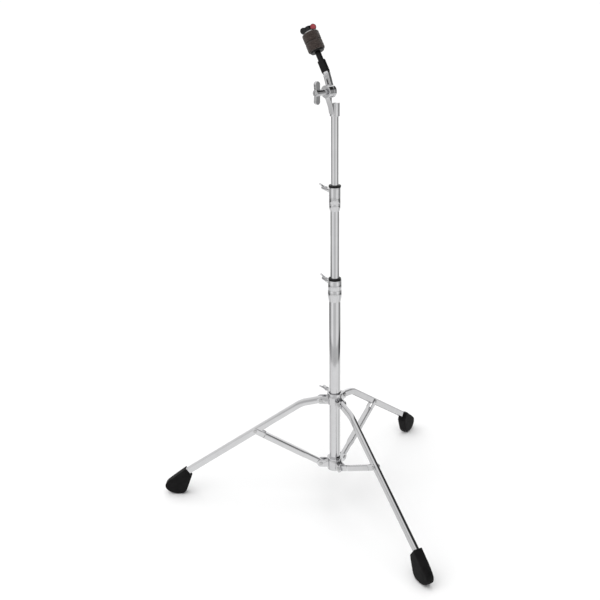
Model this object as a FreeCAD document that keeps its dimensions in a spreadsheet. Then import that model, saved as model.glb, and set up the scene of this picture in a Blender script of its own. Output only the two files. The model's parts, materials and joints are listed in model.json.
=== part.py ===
import FreeCAD, Part
import math
import os

import Sketcher

# A straight three-section stand for one cymbal: a folding tripod, two telescoping tubes held by
# clamps, a tilter, and a post with two felts under a wing nut. Lengths are in millimetres and
# angles in degrees. The origin is on the tubes' axis at floor level, +Z is up, and the legs
# point to 180, 60 and -60 degrees about Z.

SIZES = {
    # tubes
    "base_tube_diameter": 25.4,
    "base_tube_wall": 1.5,
    "base_tube_length": 439,
    "base_tube_bottom": 73,
    "middle_tube_diameter": 19.1,
    "middle_tube_wall": 1.2,
    "middle_tube_length": 420,
    "upper_tube_diameter": 15.9,
    "upper_tube_wall": 1.2,
    "upper_tube_length": 420,
    "lower_reach": 205,
    "upper_reach": 172,
    "running_gap": 0.05,
    "glide_gap": 0.15,
    "glide_flange": 6,
    "glide_stem": 16,
    "end_plug_depth": 12,
    "end_plug_dish": 2,
    # clamps
    "lower_clamp_wall": 2.3,
    "lower_clamp_height": 49,
    "lower_shoulder": 26,
    "lower_neck_wall": 0.5,
    "neck_sweep": 18,
    "upper_clamp_wall": 2.8,
    "upper_clamp_height": 51,
    "upper_shoulder": 15,
    "upper_neck_wall": 0.7,
    "bush_wall": 2.2,
    "bush_depth": 26,
    "bush_ring": 4.5,
    "lower_ring_wall": 1.1,
    "upper_ring_wall": 3.6,
    "bush_rounding": 1,
    "seam_width": 1.2,
    "seam_depth": 0.5,
    "seam_drop": 2.4,
    "boss_radius": 6,
    "boss_overhang": 5,
    "screw_radius": 3,
    "screw_gap": 0.05,
    "screw_drop": 11,
    "shoe_thickness": 1.6,
    "pin_radius": 1.6,
    "pin_drop": 7,
    "pin_head": 0.4,
    # wings of the clamp screws
    "wing_distance": 52,
    "wing_barrel_radius": 5,
    "wing_barrel_length": 14,
    "wing_spread": 10.5,
    "wing_lobe_radius": 4.5,
    "wing_thickness": 3.4,
    "wing_lean": 3,
    "wing_waist": 4.6,
    "hub_wing_turn": -63,
    "lower_wing_turn": -36,
    "upper_wing_turn": -46,
    # tripod
    "pivot_radius": 32,
    "bracket_pivot_height": 87,
    "joint_radius": 184,
    "joint_rise": 81.5,
    "bracket_wall": 4.8,
    "bracket_below": 14,
    "bracket_above": 15,
    "hub_wall": 3.6,
    "hub_liner_wall": 1.2,
    "hub_below": 8,
    "hub_above": 18,
    "hub_screw_rise": 10,
    "ear_radius": 8.5,
    "ear_thickness": 2.8,
    "ear_gap_depth": 1.2,
    "side_gap": 0.3,
    "rivet_radius": 2.5,
    "rivet_head_radius": 4.2,
    "rivet_head_height": 1.8,
    "rivet_rounding": 1.1,
    # legs and struts
    "leg_width": 10,
    "leg_height": 15,
    "leg_bend_radius": 76,
    "leg_bend_drop": 9,
    "leg_bend_turn_radius": 60,
    "leg_end_height": 46.32,
    "channel_wall": 1.4,
    "strut_height": 13,
    "strut_notch": 24,
    "strut_neck": 34,
    "strut_taper": 12,
    # rubber feet
    "foot_mouth_back": 19,
    "foot_mouth_above": 9,
    "foot_mouth_below": 16,
    "foot_width": 21,
    "foot_contact_beyond": 4,
    "foot_contact_length": 14,
    "foot_nose_beyond": 36,
    "foot_nose_height": 19,
    "foot_toe_beyond": 31,
    "foot_toe_height": 9,
    "foot_heel_back": 16,
    "foot_heel_height": 13,
    "foot_top_length": 53,
    "foot_top_above": 5,
    "foot_heel_sweep": 60,
    "foot_sole_sweep": 44,
    "foot_toe_sweep": 47,
    "foot_nose_sweep": 56,
    # tilter
    "socket_wall": 2.6,
    "socket_height": 27,
    "pivot_rise": 26.5,
    "arm_offset": 11,
    "arm_thickness": 7,
    "disc_radius": 13,
    "ear_length": 12,
    "friction_washer": 1,
    "friction_washer_inset": 1,
    "throat_sweep": 25,
    "web_sweep": 30,
    "tilt_bolt_radius": 4,
    "tilt_head_radius": 7.6,
    "tilt_head_height": 4,
    "tilt_head_rounding": 2.4,
    "tilt_wing_distance": 58,
    "tilt_wing_spread": 16.5,
    "tilt_wing_lobe": 6.5,
    "tilt_wing_barrel_radius": 6.5,
    "tilt_wing_barrel_length": 26,
    "tilt_wing_thickness": 6,
    "tilt_wing_lean": 1,
    "tilt_wing_waist": 5.4,
    "arm_lean": 20,
    "post_lean": 31,
    "arm_length": 36,
    "arm_width": 15,
    "arm_slot_width": 6,
    "arm_slot_length": 15,
    "arm_boss_radius": 7.8,
    "arm_boss_drop": 2,
    "arm_boss_height": 30,
    # cymbal post
    "post_radius": 4.4,
    "post_thread_radius": 3,
    "post_shoulder": 28,
    "sleeve_length": 19,
    "skirt_wall": 1.4,
    "sleeve_wall": 1.5,
    "sleeve_gap": 0.1,
    "sleeve_drop": 1,
    "seat_radius": 14,
    "seat_thickness": 3,
    "felt_radius": 17.6,
    "felt_height": 19,
    "felt_bore_gap": 0.4,
    "felt_rounding": 2.5,
    "top_washer_radius": 13,
    "top_washer_thickness": 2,
    "nut_barrel_radius": 6.5,
    "nut_barrel_length": 12,
    "nut_cap": 4,
    "nut_foot_radius": 12,
    "nut_foot_rim": 1,
    "nut_foot_height": 4,
    "nut_foot_sweep": 60,
    "nut_spread": 10.5,
    "nut_lobe_radius": 6.5,
    "nut_lobe_rise": 7,
    "nut_wing_thickness": 6,
    "nut_turn": 45,
    "inlay_radius": 5.5,
    "inlay_depth": 1.2,
}

QUARTER_TURN = 90
NEAR = 0.1
LEG_AZIMUTHS = {"left": 180, "back": 60, "front": -60}
SCREW_AZIMUTH = 120
TILT_AXIS_AZIMUTH = 229

document = FreeCAD.newDocument("cymbal_stand")
sheet = document.addObject("Spreadsheet::Sheet", "Sizes")


class Size:
    """A number worked out from the sheet: its value now, and the expression that keeps it tied."""

    def __init__(self, value, text):
        self.value = value
        self.text = text

    def __add__(self, other):
        other = as_size(other)
        return Size(self.value + other.value, f"({self.text} + {other.text})")

    def __sub__(self, other):
        other = as_size(other)
        return Size(self.value - other.value, f"({self.text} - {other.text})")

    def __mul__(self, other):
        other = as_size(other)
        return Size(self.value * other.value, f"({self.text} * {other.text})")

    def __truediv__(self, other):
        other = as_size(other)
        return Size(self.value / other.value, f"({self.text} / {other.text})")

    def __neg__(self):
        return Size(-self.value, f"(-1 * {self.text})")


def as_size(number):
    """A plain number as a Size, for sums that mix the two."""
    return number if isinstance(number, Size) else Size(number, f"({number:.9g})")


def sine(angle):
    return Size(math.sin(math.radians(angle.value)), f"sin({angle.text})")


def cosine(angle):
    return Size(math.cos(math.radians(angle.value)), f"cos({angle.text})")


def root(number):
    return Size(math.sqrt(number.value), f"sqrt({number.text})")


def angle_of(rise, run):
    """The angle of a slope, for a positive run."""
    return Size(math.degrees(math.atan(rise.value / run.value)), f"(atan({rise.text} / {run.text}) / 1 deg)")


def fill_sheet():
    """Writes each driving size in the sheet, and gives the Size that stands for its cell."""
    sizes = {}
    for row, (name, value) in enumerate(SIZES.items(), 1):
        sheet.set(f"A{row}", name)
        sheet.set(f"B{row}", str(value))
        sheet.setAlias(f"B{row}", name)
        sizes[name] = Size(float(value), f"Sizes.{name}")
    document.recompute()
    return sizes


class Named:
    """The sheet's sizes by name, such as size.leg_width."""

    def __init__(self, values):
        self.__dict__.update(values)


size = Named(fill_sheet())
FLOOR = as_size(0)
AXIS = as_size(0)
# how far a cutting outline runs past the face that it cuts
PAST = as_size(1)


# ---- ways of making a piece -----------------------------------------------------------------


def bind(thing, field, value):
    thing.setExpression(field, as_size(value).text)


def new_body(label):
    body = document.addObject("PartDesign::Body", label)
    body.Label = label
    return body


def origin_part(body, role):
    return next(o for o in body.Origin.OriginFeatures if o.Role == role)


def placement(x=0, y=0, z=0, yaw=0, pitch=0, roll=0):
    """The expression for a placement at a point, turned about its own Z, then Y, then X."""
    x, y, z, yaw, pitch, roll = (as_size(v).text for v in (x, y, z, yaw, pitch, roll))
    point = f"create(<<vector>>; {x}; {y}; {z})"
    turn = f"create(<<rotation>>; {yaw}; {pitch}; {roll})"
    return f"create(<<placement>>; {point}; {turn})"


def place(body, *where, **turned):
    body.setExpression("Placement", placement(*where, **turned))


def new_sketch(body, role, lift=None):
    """A sketch on one of a body's own planes, or lifted off it along the plane's normal."""
    sketch = body.newObject("Sketcher::SketchObject", f"{body.Label}_sketch")
    sketch.AttachmentSupport = (origin_part(body, role), [""])
    sketch.MapMode = "FlatFace"
    if lift is not None:
        bind(sketch, "AttachmentOffset.Base.z", lift)
    return sketch


def tie(sketch, kind, where, value):
    """Adds a dimension to a sketch and ties it to the sheet."""
    value = as_size(value)
    row = sketch.addConstraint(Sketcher.Constraint(kind, *where, value.value))
    sketch.setExpression(f"Constraints[{row}]", value.text)


def side_between(start, end, turn):
    """A straight side, or an arc that turns through an angle: positive bows out of an outline
    that is drawn anticlockwise, negative bows into it. Gives the edge and the arc's radius."""
    first = FreeCAD.Vector(start[0].value, start[1].value, 0)
    last = FreeCAD.Vector(end[0].value, end[1].value, 0)
    if not turn.value:
        return Part.LineSegment(first, last), None
    across, up = end[0] - start[0], end[1] - start[1]
    half = turn / 2 if turn.value > 0 else -turn / 2
    radius = root(across * across + up * up) / (sine(half) * 2)
    run = last - first
    rise = math.tan(math.radians(half.value) / 2) / 2
    bow = FreeCAD.Vector(run.y, -run.x, 0) * math.copysign(rise, turn.value)
    return Part.Arc(first, (first + last) / 2 + bow, last), radius


def outline(body, role, corners, lift=None):
    """A closed outline on one of a body's own planes. A corner is (x, y), or (x, y, turn) where
    the side that leaves it is an arc through that angle."""
    sketch = new_sketch(body, role, lift)
    corners = [tuple(as_size(v) for v in (*corner, 0)[:3]) for corner in corners]
    ends = []
    for start, end in zip(corners, corners[1:] + corners[:1]):
        edge, radius = side_between(start, end, start[2])
        row = sketch.addGeometry(edge)
        begin = FreeCAD.Vector(start[0].value, start[1].value, 0)
        at_start = sketch.getPoint(row, 1).distanceToPoint(begin) < 1e-6
        ends.append((row, 1, 2) if at_start else (row, 2, 1))
        if radius:
            tie(sketch, "Radius", (row,), radius)
    for before, after in zip(ends, ends[1:] + ends[:1]):
        sketch.addConstraint(Sketcher.Constraint("Coincident", before[0], before[2], after[0], after[1]))
    for (row, first, _), corner in zip(ends, corners):
        tie(sketch, "DistanceX", (-1, 1, row, first), corner[0])
        tie(sketch, "DistanceY", (-1, 1, row, first), corner[1])
    return sketch


def circles(body, role, discs, lift=None):
    """Whole circles on one of a body's own planes, each given as (x, y, radius)."""
    sketch = new_sketch(body, role, lift)
    for x, y, radius in discs:
        x, y, radius = as_size(x), as_size(y), as_size(radius)
        centre = FreeCAD.Vector(x.value, y.value, 0)
        row = sketch.addGeometry(Part.Circle(centre, FreeCAD.Vector(0, 0, 1), radius.value))
        tie(sketch, "DistanceX", (-1, 1, row, 3), x)
        tie(sketch, "DistanceY", (-1, 1, row, 3), y)
        tie(sketch, "Radius", (row,), radius)
    return sketch


def feature(body, kind, sketch):
    made = body.newObject(f"PartDesign::{kind}", f"{body.Label}_{kind.lower()}")
    made.Profile = sketch
    sketch.Visibility = False
    return made


def pad(body, sketch, length, both_sides=False, back=False):
    made = feature(body, "Pad", sketch)
    made.SideType = "Symmetric" if both_sides else "One side"
    made.Reversed = back
    bind(made, "Length", length)
    return made


def pocket(body, sketch, length=None, both_sides=False, back=False):
    """Cuts a sketch's outline out of a body, right through where no length is given."""
    made = feature(body, "Pocket", sketch)
    made.SideType = "Symmetric" if both_sides else "One side"
    made.Reversed = back
    if length is None:
        made.Type = "ThroughAll"
    else:
        bind(made, "Length", length)
    return made


def turn(body, corners):
    """Adds a piece turned on the body's Z axis, from its (radius, height) outline."""
    made = feature(body, "Revolution", outline(body, "XZ_Plane", corners))
    made.ReferenceAxis = (origin_part(body, "Z_Axis"), [""])
    return made


def bore(body, corners):
    """Cuts a hollow turned on the body's Z axis, from its (radius, height) outline."""
    made = feature(body, "Groove", outline(body, "XZ_Plane", corners))
    made.ReferenceAxis = (origin_part(body, "Z_Axis"), [""])
    return made


def three_times(body, made=None):
    """Repeats a feature at the three legs, or the whole body where no feature is given."""
    pattern = body.newObject("PartDesign::PolarPattern", f"{body.Label}_pattern")
    if made:
        pattern.Originals = [made]
    else:
        pattern.TransformMode = "Whole shape"
    pattern.Axis = (origin_part(body, "Z_Axis"), [""])
    pattern.Angle = 360
    pattern.Occurrences = len(LEG_AZIMUTHS)
    body.Tip = pattern


def edges_where(shape, test):
    return [f"Edge{n}" for n, edge in enumerate(shape.Edges, 1) if test(edge)]


def soften(body, made, radius, test):
    """Rounds the edges of a feature that pass a test."""
    document.recompute()
    rounded = body.newObject("PartDesign::Fillet", f"{body.Label}_fillet")
    rounded.Base = (made, edges_where(made.Shape, test))
    bind(rounded, "Radius", radius)
    body.Tip = rounded


def ring(inner, outer, bottom, top):
    """The outline of a plain ring."""
    return [(inner, bottom), (outer, bottom), (outer, top), (inner, top)]


def rod_outline(radius, bottom, top):
    return ring(AXIS, radius, bottom, top)


def group(label, pieces):
    """Several separate solids under one name."""
    compound = document.addObject("Part::Compound", label)
    compound.Label = label
    compound.Links = pieces
    return compound


# ---- heights and radii that several pieces share --------------------------------------------

base_tube_radius = size.base_tube_diameter / 2
base_tube_bore = base_tube_radius - size.base_tube_wall
base_tube_top = size.base_tube_bottom + size.base_tube_length
middle_tube_radius = size.middle_tube_diameter / 2
middle_tube_bore = middle_tube_radius - size.middle_tube_wall
upper_tube_radius = size.upper_tube_diameter / 2
upper_tube_bore = upper_tube_radius - size.upper_tube_wall

lower_clamp_top = base_tube_top + size.bush_depth
middle_tube_top = base_tube_top + size.lower_reach
middle_tube_bottom = middle_tube_top - size.middle_tube_length
upper_clamp_top = middle_tube_top + size.bush_depth
upper_tube_top = upper_clamp_top + size.upper_reach
upper_tube_bottom = upper_tube_top - size.upper_tube_length

lower_pin_height = base_tube_top - size.pin_drop
upper_pin_height = middle_tube_top - size.pin_drop

hub_pivot_height = size.bracket_pivot_height + size.joint_rise * 2
hub_screw_height = hub_pivot_height + size.hub_screw_rise
joint_height = size.bracket_pivot_height + size.joint_rise
link_run = size.joint_radius - size.pivot_radius
link_length = root(link_run * link_run + size.joint_rise * size.joint_rise)
link_angle = angle_of(size.joint_rise, link_run)
ear_gap = size.leg_width + size.side_gap * 2
ear_outside = ear_gap + size.ear_thickness * 2
strut_width = size.leg_width + size.side_gap * 2 + size.channel_wall * 2

tilt_pivot_height = upper_tube_top + size.pivot_rise


# ---- tubes ----------------------------------------------------------------------------------


def make_tube(label, radius, inner, bottom, top):
    body = new_body(label)
    turn(body, ring(inner, radius, bottom, top))
    return body


def make_glide(label, tube_bore, tube_bottom, outer_bore):
    """A plug in the lower end of a sliding tube, with a flange that fits the tube around it."""
    body = new_body(label)
    flange = outer_bore - size.glide_gap
    stem = tube_bore - size.running_gap
    flange_bottom = tube_bottom - size.glide_flange
    stem_top = tube_bottom + size.glide_stem
    turn(body, [
        (AXIS, flange_bottom),
        (flange, flange_bottom),
        (flange, tube_bottom - size.running_gap),
        (stem, tube_bottom - size.running_gap),
        (stem, stem_top),
        (AXIS, stem_top),
    ])
    return body


def make_end_plug():
    """The plastic plug in the foot of the base tube."""
    body = new_body("tube_end_plug")
    top = size.base_tube_bottom + size.end_plug_depth
    turn(body, rod_outline(base_tube_bore, size.base_tube_bottom, top))
    dish = base_tube_bore - size.base_tube_wall
    dish_top = size.base_tube_bottom + size.end_plug_dish
    bore(body, rod_outline(dish, size.base_tube_bottom - PAST, dish_top))
    return body


# ---- clamps ---------------------------------------------------------------------------------


def screw_hole(body, radius, height):
    """The threaded hole from a collar's bore out through its boss, along the body's X axis."""
    pocket(body, circles(body, "YZ_Plane", [(0, height, radius)]), back=True)


def pin_hole(body, role, height):
    """The hole for a wall pin, from the axis out along +X on the YZ plane or +Y on the XZ plane."""
    pocket(body, circles(body, role, [(0, height, size.pin_radius)]), back=role == "YZ_Plane")


def make_wall_pin(label, role, inner, outer, height):
    """A pin that holds a collar to a tube. It reaches only from the tube's bore to the collar's
    outside, and points as its hole does."""
    body = new_body(label)
    disc = circles(body, role, [(0, height, size.pin_radius)])
    pad(body, disc, outer + size.pin_head, back=role == "XZ_Plane")
    bore(body, rod_outline(inner, height - size.screw_drop, height + size.screw_drop))
    place(body, yaw=SCREW_AZIMUTH)
    return body


def add_boss(body, height, reach):
    """The round boss for a screw, from the axis out along the body's X axis."""
    pad(body, circles(body, "YZ_Plane", [(0, height, size.boss_radius)]), reach)


def seam(body, radius, height):
    """A shallow line turned into the outside of a collar."""
    bore(body, ring(radius - size.seam_depth, radius + PAST, height, height + size.seam_width))


def make_clamp(label, tube_radius, inner_radius, tube_top, wall, neck_wall, height, shoulder):
    """A cast clamp on the top of a tube: the tube fills its lower part and a bush its upper part."""
    body = new_body(label)
    top = tube_top + size.bush_depth
    bottom = top - height
    bush_radius = inner_radius + size.running_gap + size.bush_wall
    outer = tube_radius + wall
    neck = tube_radius + neck_wall
    screw_height = top - size.screw_drop
    turn(body, [
        (AXIS, bottom),
        (neck, bottom, size.neck_sweep),
        (outer, bottom + shoulder),
        (outer, top),
        (AXIS, top),
    ])
    add_boss(body, screw_height, outer + size.boss_overhang)
    bore(body, [
        (AXIS, bottom - PAST),
        (tube_radius, bottom - PAST),
        (tube_radius, tube_top),
        (bush_radius, tube_top),
        (bush_radius, top + PAST),
        (AXIS, top + PAST),
    ])
    seam(body, outer, top - size.seam_drop)
    seam(body, outer, bottom + shoulder)
    screw_hole(body, size.screw_radius + size.screw_gap, screw_height)
    pin_hole(body, "XZ_Plane", tube_top - size.pin_drop)
    place(body, yaw=SCREW_AZIMUTH)
    return body


def make_bush(label, tube_radius, inner_radius, tube_top, ring_wall):
    """The nylon bush in a clamp, whose ring lies on the clamp's top."""
    body = new_body(label)
    inner = inner_radius + size.running_gap
    outer = inner + size.bush_wall
    top = tube_top + size.bush_depth
    ring_radius = tube_radius + ring_wall
    ring_top = top + size.bush_ring
    turn(body, [
        (inner, tube_top),
        (outer, tube_top),
        (outer, top),
        (ring_radius, top),
        (ring_radius, ring_top - size.bush_rounding, QUARTER_TURN),
        (ring_radius - size.bush_rounding, ring_top),
        (inner, ring_top),
    ])
    screw_hole(body, size.screw_radius + size.screw_gap, top - size.screw_drop)
    place(body, yaw=SCREW_AZIMUTH)
    return body


def make_shoe(label, inner_radius, tube_top):
    """The brass shoe that the clamp screw presses on the tube."""
    body = new_body(label)
    start = inner_radius + size.running_gap
    height = tube_top + size.bush_depth - size.screw_drop
    disc = circles(body, "YZ_Plane", [(0, height, size.screw_radius)])
    pad(body, disc, start + size.shoe_thickness)
    clear = start + size.running_gap
    bore(body, rod_outline(clear, height - size.boss_radius, height + size.boss_radius))
    place(body, yaw=SCREW_AZIMUTH)
    return body


def add_wings(body, base, spread, lobe, thickness, lean, waist):
    """Two wings on a barrel that lies along the body's X axis: each spreads along Z from a waist
    to a round lobe, and leans along X on the way."""
    tip = base + lean
    for side in (1, -1):
        lobe_height = spread * side
        arm = [
            (base - waist, AXIS),
            (base + waist, AXIS),
            (tip + lobe, lobe_height),
            (tip - lobe, lobe_height),
        ]
        arm = arm if side > 0 else arm[::-1]
        pad(body, outline(body, "XZ_Plane", arm), thickness, both_sides=True)
        disc = circles(body, "XZ_Plane", [(tip, lobe_height, lobe)])
        pad(body, disc, thickness, both_sides=True)


def make_wing_screw(label, start, height, roll):
    """A clamp screw: a threaded shaft along X from the shoe to a barrel with two wings."""
    body = new_body(label)
    shaft = circles(body, "YZ_Plane", [(0, 0, size.screw_radius)], start)
    pad(body, shaft, size.wing_distance - start)
    barrel_start = size.wing_distance - size.wing_barrel_length
    barrel = circles(body, "YZ_Plane", [(0, 0, size.wing_barrel_radius)], barrel_start)
    pad(body, barrel, size.wing_barrel_length)
    middle = barrel_start + size.wing_barrel_length / 2
    add_wings(body, middle, size.wing_spread, size.wing_lobe_radius, size.wing_thickness,
              size.wing_lean, size.wing_waist)
    place(body, z=height, yaw=SCREW_AZIMUTH, roll=roll)
    return body


# ---- tripod ---------------------------------------------------------------------------------


def make_collar(label, outer, bottom, top, pivot_height):
    """A ring with three pairs of ears, each pair open where a leg or a strut turns in it."""
    body = new_body(label)
    turn(body, rod_outline(outer, bottom, top))
    pivot = -size.pivot_radius
    ear = pad(body, outline(body, "XZ_Plane", [
        (AXIS, pivot_height + size.ear_radius),
        (pivot, pivot_height + size.ear_radius, QUARTER_TURN),
        (pivot - size.ear_radius, pivot_height, QUARTER_TURN),
        (pivot, pivot_height - size.ear_radius),
        (AXIS, pivot_height - size.ear_radius),
    ]), ear_outside, both_sides=True)
    three_times(body, ear)
    inside = -(outer + size.ear_gap_depth)
    outside = pivot - size.ear_radius * 2
    gap = pocket(body, outline(body, "XY_Plane", [
        (outside, -ear_gap / 2),
        (inside, -ear_gap / 2),
        (inside, ear_gap / 2),
        (outside, ear_gap / 2),
    ]), back=True)
    three_times(body, gap)
    hole = circles(body, "XZ_Plane", [(pivot, pivot_height, size.rivet_radius)])
    three_times(body, pocket(body, hole, ear_outside * 2, both_sides=True))
    return body


def make_bracket():
    """The collar at the foot of the base tube, which carries the struts."""
    height = size.bracket_pivot_height
    bottom, top = height - size.bracket_below, height + size.bracket_above
    outer = base_tube_radius + size.bracket_wall
    body = make_collar("leg_bracket", outer, bottom, top, height)
    bore(body, rod_outline(base_tube_radius, bottom - PAST, top + PAST))
    seam(body, outer, top - size.seam_drop)
    pin_hole(body, "YZ_Plane", height)
    place(body, yaw=SCREW_AZIMUTH)
    return body


def make_hub():
    """The collar that slides on the base tube and carries the legs' upper ends."""
    bottom, top = hub_pivot_height - size.hub_below, hub_pivot_height + size.hub_above
    inner = base_tube_radius + size.running_gap + size.hub_liner_wall
    outer = inner + size.hub_wall
    body = make_collar("leg_hub", outer, bottom, top, hub_pivot_height)
    add_boss(body, hub_screw_height, outer + size.boss_overhang)
    bore(body, rod_outline(inner, bottom - PAST, top + PAST))
    screw_hole(body, size.screw_radius + size.screw_gap, hub_screw_height)
    place(body, yaw=SCREW_AZIMUTH)
    return body


def make_hub_liner():
    """The nylon liner between the hub and the base tube."""
    body = new_body("hub_liner")
    bottom, top = hub_pivot_height - size.hub_below, hub_pivot_height + size.hub_above
    inner = base_tube_radius + size.running_gap
    turn(body, ring(inner, inner + size.hub_liner_wall, bottom, top))
    screw_hole(body, size.screw_radius + size.screw_gap, hub_screw_height)
    place(body, yaw=SCREW_AZIMUTH)
    return body


def make_rivet(label, distance, height, grip):
    """A round-headed rivet across a leg's plane, at a distance from the stand's axis."""
    body = new_body(label)
    over_heads = grip + size.rivet_head_height * 2
    head = circles(body, "XZ_Plane", [(distance, height, size.rivet_head_radius)])
    pad(body, head, over_heads, both_sides=True)
    around = [
        (distance, height, size.rivet_radius),
        (distance, height, size.rivet_head_radius + PAST),
    ]
    waist = pocket(body, circles(body, "XZ_Plane", around), grip, both_sides=True)
    width = size.rivet_head_radius.value * 2 - NEAR
    face = over_heads.value / 2 - NEAR
    soften(body, waist, size.rivet_rounding, lambda edge: (
        edge.BoundBox.XLength > width and abs(edge.BoundBox.Center.y) > face))
    return body


def offset(point, direction, distance):
    """A point moved along a direction, each given as two Sizes."""
    distance = as_size(distance)
    return point[0] + direction[0] * distance, point[1] + direction[1] * distance


def slope_frame(angle):
    """The direction down a slope, and the normal that points up from it."""
    return (cosine(angle), -sine(angle)), (sine(angle), cosine(angle))


leg_start = (size.pivot_radius, hub_pivot_height)
leg_bend = (size.leg_bend_radius, hub_pivot_height - size.leg_bend_drop)
upper_slope = angle_of(size.leg_bend_drop, size.leg_bend_radius - size.pivot_radius)
lower_slope = angle_of(leg_bend[1] - joint_height, size.joint_radius - size.leg_bend_radius)
leg_turn = lower_slope - upper_slope
bend_length = size.leg_bend_turn_radius * sine(leg_turn / 2) / cosine(leg_turn / 2)
upper_way, upper_normal = slope_frame(upper_slope)
lower_way, lower_normal = slope_frame(lower_slope)


leg_run = (joint_height - size.leg_end_height) * cosine(lower_slope) / sine(lower_slope)
leg_end = (size.joint_radius + leg_run, size.leg_end_height)
contact_radius = leg_end[0] + size.foot_contact_beyond


def leg_band(start, end, above, below):
    """The outline of a strip along the leg's centre line, from one end to the other."""
    before = offset(leg_bend, upper_way, -bend_length)
    after = offset(leg_bend, lower_way, bend_length)
    return [
        offset(start, upper_normal, -below),
        (*offset(before, upper_normal, -below), -leg_turn),
        offset(after, lower_normal, -below),
        offset(end, lower_normal, -below),
        offset(end, lower_normal, above),
        (*offset(after, lower_normal, above), leg_turn),
        offset(before, upper_normal, above),
        offset(start, upper_normal, above),
    ]


def make_leg(side, azimuth):
    """A leg pressed from sheet as a channel that is open underneath."""
    body = new_body(f"leg_{side}")
    half = size.leg_height / 2
    shape = leg_band(leg_start, leg_end, half, half)
    shape[-1] = (*shape[-1], QUARTER_TURN)
    shape.append((*offset(leg_start, upper_way, -half), QUARTER_TURN))
    pad(body, outline(body, "XZ_Plane", shape), size.leg_width, both_sides=True)
    open_start = offset(leg_start, upper_way, -size.leg_height)
    open_end = offset(leg_end, lower_way, size.leg_height)
    hollow = leg_band(open_start, open_end, half - size.channel_wall, size.leg_height)
    inside = size.leg_width - size.channel_wall * 2
    pocket(body, outline(body, "XZ_Plane", hollow), inside, both_sides=True)
    pivot = (*leg_start, size.rivet_radius + size.running_gap)
    joint = (size.joint_radius, joint_height, size.rivet_radius)
    pocket(body, circles(body, "XZ_Plane", [pivot, joint]), size.leg_width * 2, both_sides=True)
    place(body, yaw=azimuth)
    return body


def strut_plan(half_at_bracket, half_at_leg, start, end):
    """The strut's plan: narrow where it turns in the bracket, wide where it straddles the leg."""
    neck, shoulder = size.strut_neck, size.strut_neck + size.strut_taper
    return [
        (start, -half_at_bracket),
        (neck, -half_at_bracket),
        (shoulder, -half_at_leg),
        (end, -half_at_leg),
        (end, half_at_leg),
        (shoulder, half_at_leg),
        (neck, half_at_bracket),
        (start, half_at_bracket),
    ]


def make_strut(side, azimuth):
    """A strut pressed from sheet, along its own X axis from the bracket to the leg's joint."""
    body = new_body(f"strut_{side}")
    half = size.strut_height / 2
    narrow, wide = size.leg_width / 2, strut_width / 2
    past = size.strut_height
    far = link_length + past
    pad(body, outline(body, "XZ_Plane", [
        (0, -half),
        (link_length, -half, QUARTER_TURN),
        (link_length + half, 0, QUARTER_TURN),
        (link_length, half),
        (0, half, QUARTER_TURN),
        (-half, 0, QUARTER_TURN),
    ]), strut_width, both_sides=True)
    for way in (1, -1):
        side_cut = [
            (-past, narrow * way),
            (size.strut_neck, narrow * way),
            (size.strut_neck + size.strut_taper, wide * way),
            (size.strut_neck, strut_width * way),
            (-past, strut_width * way),
        ]
        side_cut = side_cut if way > 0 else side_cut[::-1]
        pocket(body, outline(body, "XY_Plane", side_cut), past * 2, both_sides=True)
    wall = size.channel_wall
    hollow = strut_plan(narrow - wall, wide - wall, -past, far)
    pocket(body, outline(body, "XY_Plane", hollow))
    pocket(body, outline(body, "XY_Plane", hollow), half - wall, back=True)
    notch = link_length - size.strut_notch
    pocket(body, outline(body, "XY_Plane", [
        (notch, wall - wide),
        (far, wall - wide),
        (far, wide - wall),
        (notch, wide - wall),
    ]), back=True)
    hole = size.rivet_radius + size.running_gap
    holes = circles(body, "XZ_Plane", [(0, 0, hole), (link_length, 0, hole)])
    pocket(body, holes, strut_width * 2, both_sides=True)
    pivot = size.pivot_radius
    place(body, cosine(as_size(azimuth)) * pivot, sine(as_size(azimuth)) * pivot,
          size.bracket_pivot_height, yaw=azimuth, pitch=-link_angle)
    return body


def make_foot(side, azimuth):
    """A rubber boot over the leg's end, with a curved sole that is flat where it stands."""
    body = new_body(f"foot_{side}")
    mouth = offset(leg_end, lower_way, -size.foot_mouth_back / cosine(lower_slope))
    top = offset(offset(mouth, lower_normal, size.foot_top_above), lower_way, size.foot_top_length)
    half_contact = size.foot_contact_length / 2
    pad(body, outline(body, "XZ_Plane", [
        offset(mouth, lower_normal, -size.foot_mouth_below),
        (leg_end[0] - size.foot_heel_back, size.foot_heel_height, size.foot_heel_sweep),
        (contact_radius - half_contact, FLOOR),
        (contact_radius + half_contact, FLOOR, size.foot_sole_sweep),
        (leg_end[0] + size.foot_toe_beyond, size.foot_toe_height, size.foot_toe_sweep),
        (leg_end[0] + size.foot_nose_beyond, size.foot_nose_height, size.foot_nose_sweep),
        top,
        offset(mouth, lower_normal, size.foot_mouth_above),
    ]), size.foot_width, both_sides=True)
    half = size.leg_height / 2
    outside = offset(mouth, lower_way, -size.leg_height)
    pocket(body, outline(body, "XZ_Plane", [
        offset(outside, lower_normal, -half),
        offset(leg_end, lower_normal, -half),
        offset(leg_end, lower_normal, half),
        offset(outside, lower_normal, half),
    ]), size.leg_width, both_sides=True)
    place(body, yaw=azimuth)
    return body


# ---- tilter ---------------------------------------------------------------------------------

socket_radius = upper_tube_radius + size.socket_wall
socket_top = upper_tube_top + size.socket_wall
socket_bottom = socket_top - size.socket_height
socket_pin_height = socket_bottom + size.screw_drop
arm_near = size.arm_offset - size.arm_thickness / 2
arm_far = size.arm_offset + size.arm_thickness / 2
ear_start = arm_far + size.friction_washer
ear_end = ear_start + size.ear_length


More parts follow.
